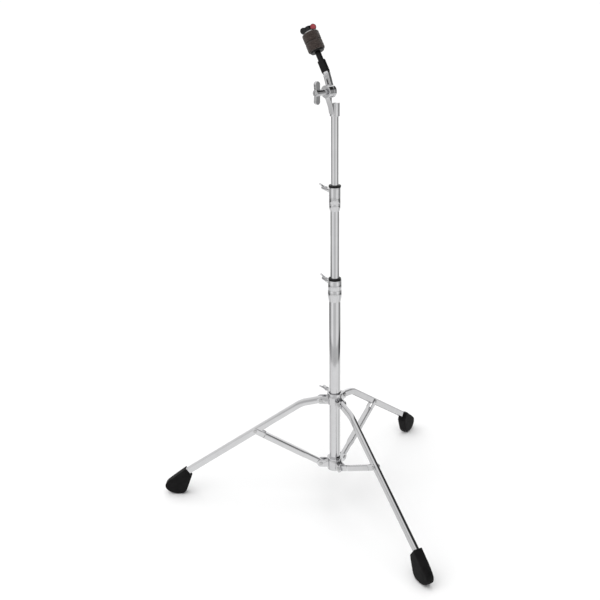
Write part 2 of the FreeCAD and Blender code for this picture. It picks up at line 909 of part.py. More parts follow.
def make_tilter_base():
    """The casting on the upper tube's top. Its ear faces the arm across the hinge's X axis."""
    body = new_body("tilter_base")
    turn(body, rod_outline(socket_radius, socket_bottom, socket_top))
    pad(body, outline(body, "XZ_Plane", [
        (AXIS, socket_bottom + size.socket_wall),
        (socket_radius, socket_bottom + size.socket_wall * 2, -size.throat_sweep),
        (ear_end, tilt_pivot_height - size.disc_radius / 2),
        (ear_end, tilt_pivot_height),
        (ear_start, tilt_pivot_height),
        (ear_start, socket_top, size.web_sweep),
        (AXIS, socket_top),
    ]), size.disc_radius, both_sides=True)
    ear = circles(body, "YZ_Plane", [(0, tilt_pivot_height, size.disc_radius)], ear_start)
    pad(body, ear, size.ear_length)
    bore(body, rod_outline(upper_tube_radius, socket_bottom - PAST, upper_tube_top))
    pocket(body, circles(body, "YZ_Plane", [(0, tilt_pivot_height, size.tilt_bolt_radius)]), back=True)
    pin = circles(body, "XZ_Plane", [(0, socket_pin_height, size.pin_radius)])
    pocket(body, pin, socket_radius * 4, both_sides=True)
    place(body, yaw=TILT_AXIS_AZIMUTH)
    return body


def make_friction_washer():
    """The washer between the arm's disc and the ear."""
    body = new_body("tilter_washer")
    faces = [
        (0, tilt_pivot_height, size.disc_radius - size.friction_washer_inset),
        (0, tilt_pivot_height, size.tilt_bolt_radius),
    ]
    start = arm_far + size.running_gap
    pad(body, circles(body, "YZ_Plane", faces, start), ear_start - start)
    place(body, yaw=TILT_AXIS_AZIMUTH)
    return body


def make_tilt_bolt():
    """The carriage bolt that the arm turns on, with its head beyond the arm."""
    body = new_body("tilter_bolt")
    head_face = arm_near - size.running_gap
    head_start = head_face - size.tilt_head_height
    shank = circles(body, "YZ_Plane", [(0, tilt_pivot_height, size.tilt_bolt_radius)], head_face)
    pad(body, shank, size.tilt_wing_distance - head_face)
    head = circles(body, "YZ_Plane", [(0, tilt_pivot_height, size.tilt_head_radius)], head_start)
    made = pad(body, head, size.tilt_head_height)
    face = head_start.value + NEAR
    soften(body, made, size.tilt_head_rounding, lambda edge: edge.BoundBox.XMax < face)
    place(body, yaw=TILT_AXIS_AZIMUTH)
    return body


def make_tilt_wing():
    """The large wing nut that clamps the tilter."""
    body = new_body("tilter_wing_nut")
    end = size.tilt_wing_distance
    start = end - size.tilt_wing_barrel_length
    barrel = circles(body, "YZ_Plane", [(0, 0, size.tilt_wing_barrel_radius)], start)
    pad(body, barrel, size.tilt_wing_barrel_length)
    add_wings(body, end - size.tilt_wing_lobe, size.tilt_wing_spread, size.tilt_wing_lobe,
              size.tilt_wing_thickness, size.tilt_wing_lean, size.tilt_wing_waist)
    hole = circles(body, "YZ_Plane", [(0, 0, size.tilt_bolt_radius + size.running_gap)])
    pocket(body, hole, end, back=True)
    place(body, z=tilt_pivot_height, yaw=TILT_AXIS_AZIMUTH)
    return body


def make_arm():
    """The tilter's arm, in the cymbal post's frame: a disc on the hinge, then a slotted bar that
    leans less than the post, then a boss for the post."""
    body = new_body("tilter_arm")
    less = size.post_lean - size.arm_lean
    way = (sine(less), cosine(less))
    across = (cosine(less), -sine(less))
    hinge = (AXIS, AXIS)
    half = size.arm_width / 2
    top = offset(hinge, way, size.arm_length)
    disc = circles(body, "YZ_Plane", [(*hinge, size.disc_radius)])
    pad(body, disc, size.arm_thickness, both_sides=True)
    bar = outline(body, "YZ_Plane", [
        offset(hinge, across, half),
        (*offset(top, across, half), QUARTER_TURN),
        (*offset(top, way, half), QUARTER_TURN),
        offset(top, across, -half),
        offset(hinge, across, -half),
    ])
    pad(body, bar, size.arm_thickness, both_sides=True)
    boss_bottom = top[1] - size.arm_boss_drop
    boss = circles(body, "XY_Plane", [(0, top[0], size.arm_boss_radius)], boss_bottom)
    pad(body, boss, size.arm_boss_height)
    slot_half = size.arm_slot_width / 2
    low = offset(hinge, way, size.disc_radius + slot_half)
    high = offset(low, way, size.arm_slot_length - slot_half * 2)
    slot = outline(body, "YZ_Plane", [
        offset(low, across, slot_half),
        (*offset(high, across, slot_half), QUARTER_TURN),
        (*offset(high, way, slot_half), QUARTER_TURN),
        offset(high, across, -slot_half),
        (*offset(low, across, -slot_half), QUARTER_TURN),
        (*offset(low, way, -slot_half), QUARTER_TURN),
    ])
    pocket(body, slot, size.arm_width, both_sides=True)
    hole = circles(body, "YZ_Plane", [(*hinge, size.tilt_bolt_radius + size.running_gap)])
    pocket(body, hole, size.arm_width, both_sides=True)
    seat = circles(body, "XY_Plane", [(0, top[0], size.post_radius)], top[1])
    pocket(body, seat, back=True)
    axis = as_size(TILT_AXIS_AZIMUTH)
    place(body, cosine(axis) * size.arm_offset, sine(axis) * size.arm_offset, tilt_pivot_height,
          yaw=axis, roll=size.post_lean)
    return body


def place_on_post(body, turned=0):
    """Puts a piece in the post's frame: its origin where the post leaves the arm, +Z up the post."""
    axis = as_size(TILT_AXIS_AZIMUTH)
    out = size.arm_length * sine(size.arm_lean)
    x = cosine(axis) * size.arm_offset + sine(axis) * out
    y = sine(axis) * size.arm_offset - cosine(axis) * out
    z = tilt_pivot_height + size.arm_length * cosine(size.arm_lean)
    post = placement(x, y, z, yaw=axis, roll=size.post_lean)
    body.setExpression("Placement", f"{post} * {placement(yaw=turned)}")


# ---- cymbal post ----------------------------------------------------------------------------

seat_bottom = size.post_shoulder + size.sleeve_length
seat_top = seat_bottom + size.seat_thickness
felt_joint = seat_top + size.felt_height
felt_top = felt_joint + size.felt_height
washer_top = felt_top + size.top_washer_thickness
nut_top = washer_top + size.nut_barrel_length
thread_top = nut_top - size.nut_cap
skirt_radius = size.post_radius + size.skirt_wall
sleeve_radius = size.post_thread_radius + size.sleeve_gap + size.sleeve_wall
sleeve_top = felt_top - size.sleeve_drop


def make_post():
    """The steel post: a plain lower part, a shoulder, and a threaded upper part."""
    body = new_body("cymbal_post")
    turn(body, [
        (AXIS, 0),
        (size.post_radius, 0),
        (size.post_radius, seat_bottom),
        (size.post_thread_radius, seat_bottom),
        (size.post_thread_radius, thread_top),
        (AXIS, thread_top),
    ])
    place_on_post(body)
    return body


def make_sleeve():
    """The plastic sleeve that keeps a cymbal off the thread, with a thick skirt under the seat."""
    body = new_body("cymbal_sleeve")
    turn(body, [
        (size.post_radius, size.post_shoulder),
        (skirt_radius, size.post_shoulder),
        (skirt_radius, seat_bottom),
        (sleeve_radius, seat_bottom),
        (sleeve_radius, sleeve_top),
        (size.post_thread_radius, sleeve_top),
        (size.post_thread_radius, seat_bottom),
        (size.post_radius, seat_bottom),
    ])
    place_on_post(body)
    return body


def make_ring_piece(label, inner, outer, bottom, top, rounding=0):
    """A ring on the post, with both outer edges rounded where a radius is given."""
    body = new_body(label)
    made = turn(body, ring(inner, outer, bottom, top))
    if rounding:
        width = outer.value * 2 - NEAR
        soften(body, made, rounding, lambda edge: edge.BoundBox.XLength > width)
    place_on_post(body)
    return body


def make_nut():
    """The wing nut on the post: a barrel with a round foot and two upswept lobes."""
    body = new_body("cymbal_wing_nut")
    turn(body, [
        (AXIS, washer_top),
        (size.nut_foot_radius, washer_top),
        (size.nut_foot_radius, washer_top + size.nut_foot_rim, size.nut_foot_sweep),
        (size.nut_barrel_radius, washer_top + size.nut_foot_height),
        (size.nut_barrel_radius, nut_top),
        (AXIS, nut_top),
    ])
    rise = washer_top + size.nut_lobe_rise
    for side in (1, -1):
        lobe = circles(body, "XZ_Plane", [(size.nut_spread * side, rise, size.nut_lobe_radius)])
        pad(body, lobe, size.nut_wing_thickness, both_sides=True)
        disc = [(size.nut_spread * side, rise, size.inlay_radius)]
        lift = (size.nut_wing_thickness / 2 - size.inlay_depth) * side
        pocket(body, circles(body, "XZ_Plane", disc, lift), size.inlay_depth * 2, back=side > 0)
    thread_hole = size.post_thread_radius + size.running_gap
    bore(body, rod_outline(thread_hole, washer_top - PAST, thread_top + size.running_gap))
    place_on_post(body, -size.nut_turn)
    return body


def make_inlays():
    """The round inlays in the nut's lobes, one on each side."""
    pieces = []
    rise = washer_top + size.nut_lobe_rise
    for side, name in ((1, "near"), (-1, "far")):
        body = new_body(f"inlay_{name}")
        lift = (size.nut_wing_thickness / 2 - size.inlay_depth) * side
        disc = circles(body, "XZ_Plane", [(size.nut_spread * side, rise, size.inlay_radius)], lift)
        pad(body, disc, size.inlay_depth, back=side < 0)
        place_on_post(body, -size.nut_turn)
        pieces.append(body)
    return group("nut_inlays", pieces)


def make_cross_pin():
    """The pin right through the tilter's socket and the upper tube."""
    body = new_body("tilter_pin")
    disc = circles(body, "XZ_Plane", [(0, socket_pin_height, size.pin_radius)])
    pad(body, disc, socket_radius * 2 + size.pin_head * 2, both_sides=True)
    place(body, yaw=TILT_AXIS_AZIMUTH)
    return body


# ---- the whole stand ------------------------------------------------------------------------

def make_base():
    """The base tube with its bracket, and the hub that slides on it."""
    tube = make_tube("base_tube", base_tube_radius, base_tube_bore, size.base_tube_bottom, base_tube_top)
    pin_hole(tube, "XZ_Plane", lower_pin_height)
    pin_hole(tube, "YZ_Plane", size.bracket_pivot_height)
    place(tube, yaw=SCREW_AZIMUTH)
    pin = make_wall_pin("bracket_pin", "YZ_Plane", base_tube_bore,
                        base_tube_radius + size.bracket_wall, size.bracket_pivot_height)
    bracket_rivets = make_rivet("bracket_rivets", -size.pivot_radius, size.bracket_pivot_height,
                                ear_outside)
    hub_rivets = make_rivet("hub_rivets", -size.pivot_radius, hub_pivot_height, ear_outside)
    three_times(bracket_rivets)
    three_times(hub_rivets)
    return [
        tube, pin, bracket_rivets, hub_rivets,
        make_end_plug(), make_bracket(), make_hub(), make_hub_liner(),
    ]


def make_tripod():
    """Each leg with its strut, foot and the rivet where they cross."""
    pieces = []
    for side, azimuth in LEG_AZIMUTHS.items():
        rivet = make_rivet(f"joint_rivet_{side}", size.joint_radius, joint_height,
                           strut_width + size.running_gap * 2)
        place(rivet, yaw=azimuth)
        pieces += [rivet, make_leg(side, azimuth), make_strut(side, azimuth), make_foot(side, azimuth)]
    return pieces


def make_lower_joint():
    """The middle tube, and what holds it in the base tube."""
    tube = make_tube("middle_tube", middle_tube_radius, middle_tube_bore,
                     middle_tube_bottom, middle_tube_top)
    pin_hole(tube, "XZ_Plane", upper_pin_height)
    place(tube, yaw=SCREW_AZIMUTH)
    wall = size.lower_clamp_wall
    return [
        tube,
        make_glide("middle_tube_glide", middle_tube_bore, middle_tube_bottom, base_tube_bore),
        make_clamp("lower_clamp", base_tube_radius, middle_tube_radius, base_tube_top, wall,
                   size.lower_neck_wall, size.lower_clamp_height, size.lower_shoulder),
        make_bush("lower_bush", base_tube_radius, middle_tube_radius, base_tube_top,
                  size.lower_ring_wall),
        make_shoe("lower_clamp_shoe", middle_tube_radius, base_tube_top),
        make_wall_pin("lower_clamp_pin", "XZ_Plane", base_tube_bore, base_tube_radius + wall,
                      lower_pin_height),
    ]


def make_upper_joint():
    """The upper tube, and what holds it in the middle tube."""
    tube = make_tube("upper_tube", upper_tube_radius, upper_tube_bore,
                     upper_tube_bottom, upper_tube_top)
    pin = circles(tube, "XZ_Plane", [(0, socket_pin_height, size.pin_radius)])
    pocket(tube, pin, upper_tube_radius * 4, both_sides=True)
    place(tube, yaw=TILT_AXIS_AZIMUTH)
    wall = size.upper_clamp_wall
    return [
        tube,
        make_glide("upper_tube_glide", upper_tube_bore, upper_tube_bottom, middle_tube_bore),
        make_clamp("upper_clamp", middle_tube_radius, upper_tube_radius, middle_tube_top, wall,
                   size.upper_neck_wall, size.upper_clamp_height, size.upper_shoulder),
        make_bush("upper_bush", middle_tube_radius, upper_tube_radius, middle_tube_top,
                  size.upper_ring_wall),
        make_shoe("upper_clamp_shoe", upper_tube_radius, middle_tube_top),
        make_wall_pin("upper_clamp_pin", "XZ_Plane", middle_tube_bore, middle_tube_radius + wall,
                      upper_pin_height),
    ]


def make_screws():
    """The three clamp screws, each from its shoe or from the base tube."""
    shoe = size.running_gap + size.shoe_thickness
    return [
        make_wing_screw("hub_wing_screw", base_tube_radius + size.running_gap, hub_screw_height,
                        size.hub_wing_turn),
        make_wing_screw("lower_wing_screw", middle_tube_radius + shoe,
                        lower_clamp_top - size.screw_drop, size.lower_wing_turn),
        make_wing_screw("upper_wing_screw", upper_tube_radius + shoe,
                        upper_clamp_top - size.screw_drop, size.upper_wing_turn),
    ]


def make_top():
    """The tilter, and the cymbal post with everything on it."""
    felt_bore = sleeve_radius + size.felt_bore_gap
    washer_bore = size.post_thread_radius + size.sleeve_gap
    return [
        make_tilter_base(), make_friction_washer(), make_tilt_bolt(), make_tilt_wing(), make_arm(),
        make_cross_pin(), make_post(), make_sleeve(), make_nut(), make_inlays(),
        make_ring_piece("seat_washer", sleeve_radius, size.seat_radius, seat_bottom, seat_top),
        make_ring_piece("lower_felt", felt_bore, size.felt_radius, seat_top, felt_joint,
                        size.felt_rounding),
        make_ring_piece("upper_felt", felt_bore, size.felt_radius, felt_joint, felt_top,
                        size.felt_rounding),
        make_ring_piece("top_washer", washer_bore, size.top_washer_radius, felt_top, washer_top),
    ]


def check(pieces):
    """Stops before anything is written if a feature failed or a piece isn't sound."""
    for thing in document.Objects:
        if {"Invalid", "Error"} & set(thing.State):
            raise RuntimeError(f"{thing.Label} failed: {thing.State}")
    for piece in pieces:
        if piece.Shape.isNull() or not piece.Shape.isValid() or piece.Shape.Volume <= 0:
            raise RuntimeError(f"{piece.Label} has no sound shape")


def main():
    pieces = make_base() + make_tripod() + make_lower_joint() + make_upper_joint()
    pieces += make_screws() + make_top()
    document.recompute()
    check(pieces)
    os.makedirs("parts", exist_ok=True)
    for piece in pieces:
        piece.Shape.exportStep(os.path.join("parts", f"{piece.Label}.step"))
    print(len(pieces), "pieces")


main()
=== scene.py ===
import json
import math

import bmesh
import bpy
from mathutils import Matrix, Vector
from mathutils.geometry import convex_hull_2d


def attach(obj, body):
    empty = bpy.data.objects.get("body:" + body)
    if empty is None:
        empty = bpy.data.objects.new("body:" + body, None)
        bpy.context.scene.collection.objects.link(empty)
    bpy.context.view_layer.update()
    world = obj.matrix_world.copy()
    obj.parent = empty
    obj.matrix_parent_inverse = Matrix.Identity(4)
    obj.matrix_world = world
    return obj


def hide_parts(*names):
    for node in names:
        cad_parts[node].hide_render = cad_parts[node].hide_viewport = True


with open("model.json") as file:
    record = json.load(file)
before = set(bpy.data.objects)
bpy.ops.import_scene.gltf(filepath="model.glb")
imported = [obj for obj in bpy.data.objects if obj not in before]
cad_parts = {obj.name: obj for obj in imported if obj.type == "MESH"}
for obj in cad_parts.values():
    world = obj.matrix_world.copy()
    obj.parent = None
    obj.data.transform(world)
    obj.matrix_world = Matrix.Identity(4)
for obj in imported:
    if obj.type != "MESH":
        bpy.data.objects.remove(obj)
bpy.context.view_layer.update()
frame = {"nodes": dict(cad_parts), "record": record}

# A straight cymbal stand. Lengths are in metres. The tubes stand on the Z axis, and the legs
# point to 180, 60 and -60 degrees about it.

nodes = frame["nodes"]
body_of = {n: b for b, names in frame["record"]["behaviour"]["bodies"].items() for n in names}
slot_of = {s["node"]: s["material_slot"] for s in frame["record"]["subparts"]}
joints = {joint["name"]: joint for joint in frame["record"]["behaviour"]["joints"]}


# ---- materials ------------------------------------------------------------------------------


class Nodes:
    """A short way to add and join the nodes of one material or world."""

    def __init__(self, tree):
        self.tree = tree

    def add(self, kind, **settings):
        node = self.tree.nodes.new(kind)
        for name, value in settings.items():
            if name in node.inputs:
                node.inputs[name].default_value = value
            else:
                setattr(node, name, value)
        return node

    def join(self, source, target):
        self.tree.links.new(source, target)

    def noise(self, scale, detail):
        """Noise over the object's own space, in features a metre."""
        place = self.add("ShaderNodeTexCoord")
        texture = self.add("ShaderNodeTexNoise")
        texture.inputs["Scale"].default_value = scale
        texture.inputs["Detail"].default_value = detail
        self.join(place.outputs["Object"], texture.inputs["Vector"])
        return texture.outputs["Fac"]

    def ramp(self, value, stops):
        """A colour ramp through (position, colour or grey) stops."""
        ramp = self.add("ShaderNodeValToRGB")
        elements = ramp.color_ramp.elements
        for index, (position, colour) in enumerate(stops):
            element = elements[index] if index < 2 else elements.new(position)
            element.position = position
            element.color = (*colour, 1) if isinstance(colour, tuple) else (colour, colour, colour, 1)
        self.join(value, ramp.inputs["Fac"])
        return ramp.outputs["Color"]

    def range(self, value, low, high, to_low, to_high):
        node = self.add("ShaderNodeMapRange")
        ends = {"From Min": low, "From Max": high, "To Min": to_low, "To Max": to_high}
        for name, number in ends.items():
            node.inputs[name].default_value = number
        self.join(value, node.inputs["Value"])
        return node.outputs["Result"]

    def math(self, kind, first, second=0.0):
        node = self.add("ShaderNodeMath", operation=kind)
        for socket, value in zip(node.inputs, (first, second)):
            if isinstance(value, (int, float)):
                socket.default_value = value
            else:
                self.join(value, socket)
        return node.outputs["Value"]

    def bump(self, height, distance, under=None):
        node = self.add("ShaderNodeBump")
        node.inputs["Strength"].default_value = 1.0
        node.inputs["Distance"].default_value = distance
        self.join(height, node.inputs["Height"])
        if under is not None:
            self.join(under, node.inputs["Normal"])
        return node.outputs["Normal"]


def material(name, **surface):
    """A material with a Principled surface, and the Nodes to add detail with."""
    made = bpy.data.materials.new(name)
    made.use_nodes = True
    shader = made.node_tree.nodes["Principled BSDF"]
    for socket, value in surface.items():
        shader.inputs[socket.replace("_", " ")].default_value = value
    return made, Nodes(made.node_tree), shader


def chrome(name, tint, rough, wave, wave_size, grain=0.0, grain_size=2500):
    """Bright plate: a slow unevenness that bends reflections, faint haze, and sometimes a grain."""
    made, kit, shader = material(name, Metallic=1.0)
    haze = kit.noise(38, 4)
    dull = tuple(c * 0.95 for c in tint)
    kit.join(kit.ramp(haze, [(0.3, dull), (0.7, tint)]), shader.inputs["Base Color"])
    smudge = kit.noise(120, 6)
    kit.join(kit.range(smudge, 0.35, 0.7, rough, rough * 2.0), shader.inputs["Roughness"])
    normal = kit.bump(kit.noise(wave_size, 2), wave)
    if grain:
        normal = kit.bump(kit.noise(grain_size, 2), grain, under=normal)
    kit.join(normal, shader.inputs["Normal"])
    return made


def plastic(name, dark, light, rough, grain, grain_size, **surface):
    """A moulding: colour that varies a little, and a fine texture from the tool."""
    made, kit, shader = material(name, **surface)
    kit.join(kit.ramp(kit.noise(90, 5), [(0.35, dark), (0.68, light)]), shader.inputs["Base Color"])
    roughness = kit.range(kit.noise(240, 4), 0.3, 0.7, rough - 0.05, rough + 0.06)
    kit.join(roughness, shader.inputs["Roughness"])
    kit.join(kit.bump(kit.noise(grain_size, 3), grain), shader.inputs["Normal"])
    return made


def make_felt():
    """Dense pressed wool: flecked fibres, a soft sheen and a napped surface."""
    made, kit, shader = material("felt", Roughness=0.95)
    shader.inputs["Sheen Weight"].default_value = 0.35
    shader.inputs["Sheen Roughness"].default_value = 0.4
    shader.inputs["Specular IOR Level"].default_value = 0.15
    flecks = kit.noise(900, 6)
    colour = kit.ramp(flecks, [(0.3, (0.016, 0.012, 0.011)), (0.5, (0.042, 0.032, 0.029)),
                               (0.72, (0.11, 0.09, 0.08))])
    kit.join(colour, shader.inputs["Base Color"])
    matted = kit.bump(kit.noise(260, 5), 0.0012)
    kit.join(kit.bump(kit.noise(1500, 4), 0.0005, under=matted), shader.inputs["Normal"])
    return made


black = (0.004, 0.0038, 0.004)
worn_black = (0.008, 0.0075, 0.008)
materials = {
    "chrome_tube": chrome("chrome_tube", (0.72, 0.72, 0.73), 0.045, 0.00003, 14),
    "chrome_cast": chrome("chrome_cast", (0.71, 0.71, 0.72), 0.07, 0.00025, 90, 0.00002, 1800),
    "steel_fastener": chrome("steel_fastener", (0.62, 0.62, 0.62), 0.16, 0.0001, 200, 0.00002, 3000),
    "black_nylon": plastic("black_nylon", black, worn_black, 0.42, 0.00004, 1400,
                           Specular_IOR_Level=0.2),
    "brass_shoe": chrome("brass_shoe", (0.72, 0.55, 0.28), 0.2, 0.0001, 200),
    "black_rubber": plastic("black_rubber", black, (0.008, 0.0075, 0.0078), 0.6, 0.00012, 1100,
                            Specular_IOR_Level=0.12),
    "felt": make_felt(),
    "black_gloss": plastic("black_gloss", (0.004, 0.004, 0.0045), (0.008, 0.008, 0.0085), 0.2,
                           0.00002, 700, Specular_IOR_Level=0.35),
    "red_inlay": plastic("red_inlay", (0.26, 0.012, 0.022), (0.36, 0.018, 0.030), 0.22, 0.00002, 700,
                         Coat_Weight=0.4),
}


# ---- ways of making a piece -----------------------------------------------------------------


def smooth(mesh, limit):
    """Smooth shading, with a crease only where faces meet more sharply than the limit."""
    for face in mesh.polygons:
        face.use_smooth = True
    mesh.set_sharp_from_angle(angle=math.radians(limit))


def dress(piece, *stands_for, slot=None, body=None):
    """Gives a piece its finish and its body, and hides the CAD nodes that it stands for."""
    slot = slot or slot_of[stands_for[0]]
    piece.data.materials.clear()
    piece.data.materials.append(materials[slot])
    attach(piece, body or body_of[stands_for[0]])
    if stands_for:
        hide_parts(*stands_for)
    return piece


def piece_from(name, mesh):
    piece = bpy.data.objects.new(name, mesh)
    bpy.context.scene.collection.objects.link(piece)
    return piece


def solid_of(node):
    """A CAD node's shape as a clean mesh: joined up, with its flat faces whole."""
    mesh = nodes[node].data.copy()
    bm = bmesh.new()
    bm.from_mesh(mesh)
    bmesh.ops.remove_doubles(bm, verts=bm.verts, dist=2e-6)
    bmesh.ops.dissolve_limit(bm, angle_limit=math.radians(0.6), verts=bm.verts, edges=bm.edges)
    bm.to_mesh(mesh)
    bm.free()
    mesh.materials.clear()
    return mesh


def applied(piece):
    """The piece's mesh with its modifiers in it."""
    bpy.context.view_layer.update()
    graph = bpy.context.evaluated_depsgraph_get()
    mesh = bpy.data.meshes.new_from_object(piece.evaluated_get(graph), depsgraph=graph)
    piece.modifiers.clear()
    piece.data = mesh
    return mesh


def crisp(node, width):
    """A machined or pressed piece: the CAD shape with narrow rounded edges."""
    piece = piece_from(f"{node}_edged", solid_of(node))
    bevel = piece.modifiers.new("edges", "BEVEL")
    bevel.width = width
    bevel.segments = 3
    bevel.limit_method = "ANGLE"
    bevel.angle_limit = math.radians(28)
    bevel.miter_outer = "MITER_ARC"
    bevel.use_clamp_overlap = True
    smooth(applied(piece), 40)
    return dress(piece, node)


def flowing(piece, voxel, rounds):
    """The piece's mesh with its edges worn round: a skin of voxels, relaxed in rounds."""
    remesh = piece.modifiers.new("skin", "REMESH")
    remesh.mode = "VOXEL"
    remesh.voxel_size = voxel
    relax = piece.modifiers.new("flow", "SMOOTH")
    relax.factor = 0.5
    relax.iterations = rounds
    mesh = applied(piece)
    for face in mesh.polygons:
        face.use_smooth = True
    return mesh


def cast(node, voxel, rounds):
    """A casting or a moulding: the CAD shape with all its edges flowing into each other."""
    piece = piece_from(f"{node}_cast", solid_of(node))
    flowing(piece, voxel, rounds)
    return dress(piece, node)


def lathe(name, profile, place, segments=96):
    """A piece turned about a frame's Z axis from its closed (radius, height) profile."""
    bm = bmesh.new()
    rings = []
    for radius, height in profile:
        rings.append([bm.verts.new(place @ Vector((
            radius * math.cos(2 * math.pi * i / segments),
            radius * math.sin(2 * math.pi * i / segments), height))) for i in range(segments)])
    for low, high in zip(rings, rings[1:] + rings[:1]):
        for i in range(segments):
            j = (i + 1) % segments
            bm.faces.new((low[i], low[j], high[j], high[i]))
    bmesh.ops.recalc_face_normals(bm, faces=bm.faces)
    mesh = bpy.data.meshes.new(name)
    bm.to_mesh(mesh)
    bm.free()
    smooth(mesh, 50)
    return piece_from(name, mesh)


def rounded(corners, radius, steps=4):
    """A closed profile with its corners rounded, by less where a side is too short for it."""
    profile = []
    for i, spot in enumerate(corners):
        here = Vector(spot)
        before = Vector(corners[i - 1]) - here
        after = Vector(corners[(i + 1) % len(corners)]) - here
        half = before.angle(after) / 2
        back = min(radius / math.tan(half), before.length * 0.45, after.length * 0.45)
        start = here + before.normalized() * back
        end = here + after.normalized() * back
        for k in range(steps + 1):
            t = k / steps
            profile.append((start * (1 - t) ** 2 + here * 2 * t * (1 - t) + end * t ** 2)[:])
    return profile


def sweep(bm, stations, section):
    """Adds a closed section drawn along stations, each (point, sideways, up, place along it)."""
    rings = []
    for point, sideways, up, along in stations:
        rings.append([bm.verts.new(point + sideways * u + up * w) for u, w in section(along)])
    for low, high in zip(rings, rings[1:]):
        for i in range(len(low)):
            j = (i + 1) % len(low)
            bm.faces.new((low[i], low[j], high[j], high[i]))
    bm.faces.new(rings[0][::-1])
    bm.faces.new(rings[-1])


def corner(x, y, radius, start, steps=5):
    """Points round a quarter circle, from an angle in degrees, anticlockwise where steps > 0."""
    points = []
    for k in range(abs(steps) + 1):
        angle = math.radians(start + math.copysign(90, steps) * k / abs(steps))
        points.append((x + radius * math.cos(angle), y + radius * math.sin(angle)))
    return points


def channel(half_width, half_height, wall, fold):
    """A sheet folded down along both sides, open underneath."""
    lip, inner = wall * 0.35, fold - wall
    a, b, top = half_width, half_width - wall, half_height
    side = [(a - lip, -top), (a, -top + lip)] + corner(a - fold, top - fold, fold, 0)
    other = [(-x, y) for x, y in reversed(side)]
    hollow = [(-b, -top + lip)] + corner(-b + inner, top - wall - inner, inner, 180, -5)
    return side + other + hollow + [(-x, y) for x, y in reversed(hollow)]


def plate(at, half_height, wall):
    """One side of a channel on its own."""
    lip, half = wall * 0.3, wall / 2
    return [(at + half, -half_height + lip), (at + half, half_height - lip),
            (at + half - lip, half_height), (at - half + lip, half_height),
            (at - half, half_height - lip), (at - half, -half_height + lip),
            (at - half + lip, -half_height), (at + half - lip, -half_height)]


def round_end(along, end, reach):
    """How much of a part's height is left at a place along its rounded end."""
    past = min(abs(along - end) / reach, 1.0) if (along - end) * reach > 0 else 0.0
    return math.sqrt(max(1 - past * past, 0.0))


def bar_stations(path, sideways, steps_at_end, reach, both_ends=False):
    """Places along a path of (point, up) pairs, close together where its end is round."""
    stations = []
    first, up = path[0]
    back = (path[1][0] - first).normalized()
    for k in range(steps_at_end):
        past = reach * math.cos(math.pi / 2 * k / steps_at_end) * 0.999
        stations.append((first - back * past, sideways, up, -past))
    along = 0.0
    for i, (point, up) in enumerate(path):
        if i:
            along += (point - path[i - 1][0]).length
        stations.append((point, sideways, up, along))
    if both_ends:
        last, up = path[-1]
        ahead = (last - path[-2][0]).normalized()
        for k in range(1, steps_at_end + 1):
            past = reach * math.sin(math.pi / 2 * k / steps_at_end) * 0.999
            stations.append((last + ahead * past, sideways, up, along + past))
    return stations


def joint_spot(name):
    """A joint's (distance from the tube's axis, height)."""
    x, y, z = joints[name]["pos_m"]
    return Vector((math.hypot(x, y), z))


def leg_directions(azimuth):
    """The way out along a leg, and the way across it."""
    out = Vector((math.cos(azimuth), math.sin(azimuth), 0))
    sideways = Vector((-math.sin(azimuth), math.cos(azimuth), 0))
    return out, sideways


leg_top = joint_spot("hub_level")
crossing = joint_spot("leg_left_fold")
strut_foot = joint_spot("tripod_fold")
leg_bend = Vector((0.076, 0.241))
leg_bend_radius = 0.060
bend_steps = 8
leg_end_distance = 0.356
leg_half_width = 0.005
leg_half_height = 0.0075
leg_end_reach = 0.0074
leg_fold = 0.0027
sheet = 0.0014

strut_half_height = 0.0065
strut_end_reach = 0.0064
strut_fold = 0.0026
strut_narrow = 0.005
strut_wide = 0.0067
widening_from = 0.034
widening_over = 0.012
widening_steps = 4
notch_length = 0.024
plate_overlap = 0.001
plate_straight = 0.004

end_steps = 10
least_height = 0.06
least_fold = 0.55


def bar_height(half_height, along, end, reach):
    """Half of a bar's height at a place along it, never quite nothing at its round end."""
    return half_height * max(round_end(along, end, reach), least_height)


def bar_section(half_width, half_height, fold, along, reach):
    """The channel's section at a place along it, with its fold closing at the round start."""
    closing = max(round_end(along, 0, -reach), least_fold)
    return channel(half_width, bar_height(half_height, along, 0, -reach), sheet, fold * closing)


def make_leg(side, azimuth):
    """A leg folded from sheet, with a bend near the hub and a round end on its rivet. Its other
    end stops inside the boot, a little short of the CAD leg's, to keep clear of the boot's skin."""
    out, sideways = leg_directions(azimuth)
    path = []

    def add(point, direction):
        up = out * -direction.y + Vector((0, 0, direction.x))
        path.append((out * point[0] + Vector((0, 0, point[1])), up))

    slope = (crossing.y - leg_bend.y) / (crossing.x - leg_bend.x)
    leg_end = Vector((leg_end_distance, crossing.y + slope * (leg_end_distance - crossing.x)))
    upper = (leg_bend - leg_top).normalized()
    lower = (leg_end - leg_bend).normalized()
    inward = Vector((upper.y, -upper.x))
    turn = upper.angle(lower)
    first = leg_bend - upper * leg_bend_radius * math.tan(turn / 2)
    add(leg_top, upper)
    for k in range(bend_steps + 1):
        angle = turn * k / bend_steps
        tangent = upper * math.cos(angle) + inward * math.sin(angle)
        across = inward * leg_bend_radius * (1 - math.cos(angle))
        add(first + across + upper * leg_bend_radius * math.sin(angle), tangent)
    add(leg_end, lower)
    bm = bmesh.new()
    sweep(bm, bar_stations(path, sideways, end_steps, leg_end_reach),
          lambda along: bar_section(leg_half_width, leg_half_height, leg_fold, along, leg_end_reach))
    return finish_bar(bm, f"leg_{side}")


